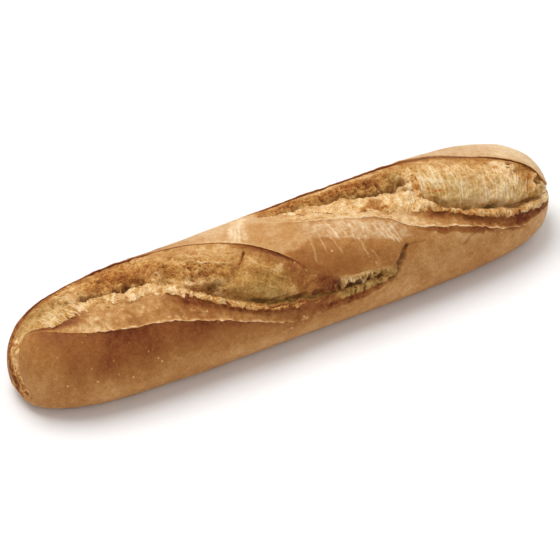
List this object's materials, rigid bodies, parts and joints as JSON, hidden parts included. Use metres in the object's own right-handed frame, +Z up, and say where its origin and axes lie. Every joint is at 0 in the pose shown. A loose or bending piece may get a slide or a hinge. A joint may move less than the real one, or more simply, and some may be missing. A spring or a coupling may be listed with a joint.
{
  "type": "baguette",
  "caption": "Half-length baguette with a browned crust and long overlapping diagonal slashes that have opened into ragged crumb.",
  "frame": {"origin": "middle of the underside, on the surface that the loaf lies on", "axes": "+X along the loaf, -Y towards the front, where the slashes run down the side, +Z up"},
  "size_m": [0.29, 0.0682, 0.0485],
  "materials": {
    "crust": "dry browned bread crust, matt, paler and rougher where the crumb is torn open"
  },
  "bodies": {
    "root": {"baguette": "crust"}
  },
  "joints": []
}
